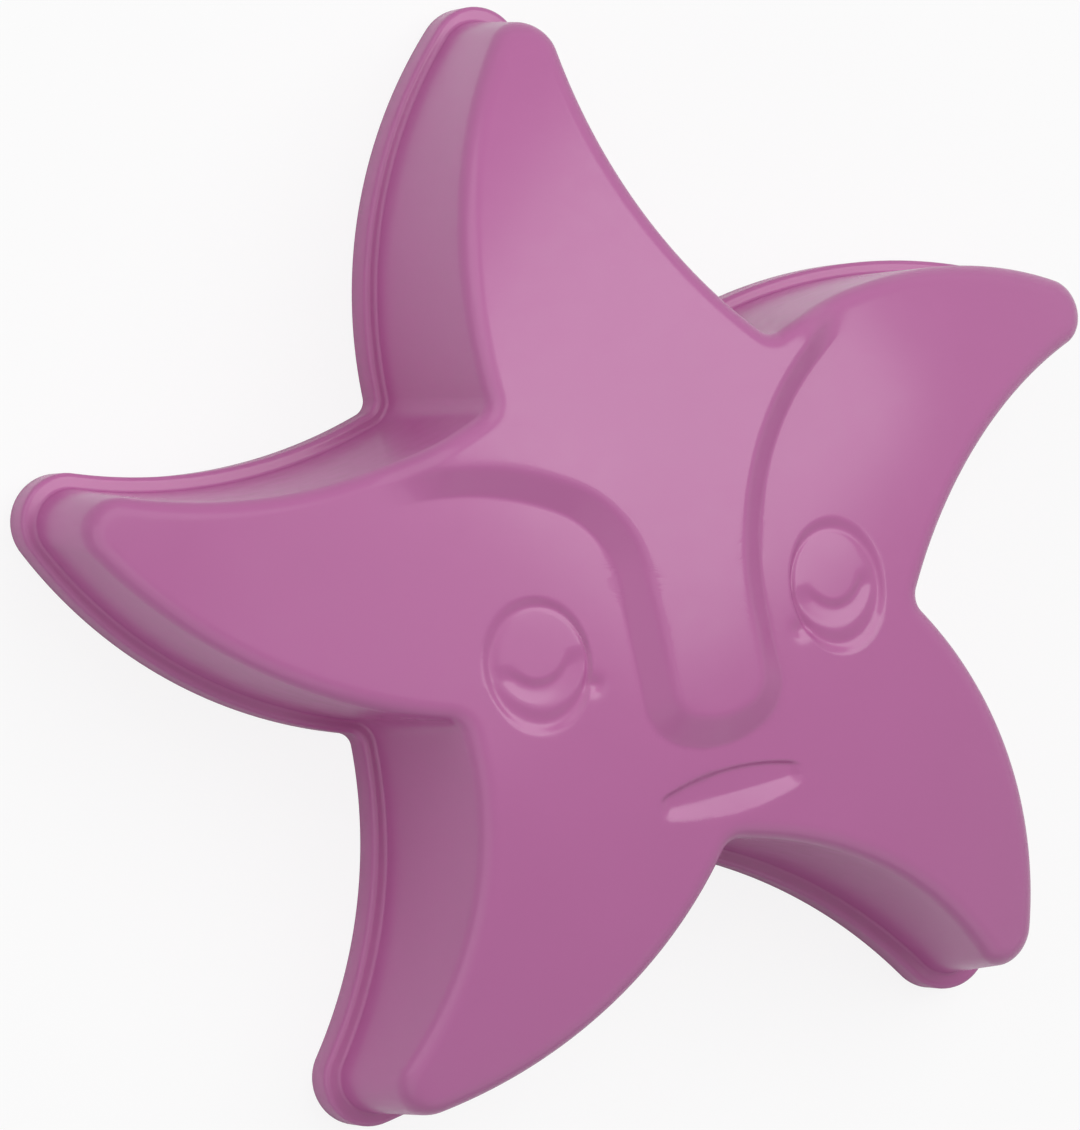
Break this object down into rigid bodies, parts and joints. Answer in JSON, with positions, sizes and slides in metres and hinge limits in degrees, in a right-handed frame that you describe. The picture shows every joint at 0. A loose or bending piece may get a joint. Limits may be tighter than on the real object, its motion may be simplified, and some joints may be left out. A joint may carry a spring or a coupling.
{
  "type": "sand mould",
  "caption": "One-piece starfish-shaped sand mould with a smiling face: a hollow plastic shell, filled with damp sand through its open side and turned over.",
  "frame": {"origin": "centre of the mould's box, on the plane of its rim", "axes": "+Z out of the crown, from the open rim to the face; +Y towards the forehead arm; +X to the right of the face as it is looked at"},
  "size_m": [0.1262, 0.122, 0.0394],
  "materials": {
    "shell_plastic": "glossy injection-moulded polypropylene, pink-purple all through"
  },
  "bodies": {
    "root": {"mould_shell": "shell_plastic"}
  },
  "joints": []
}
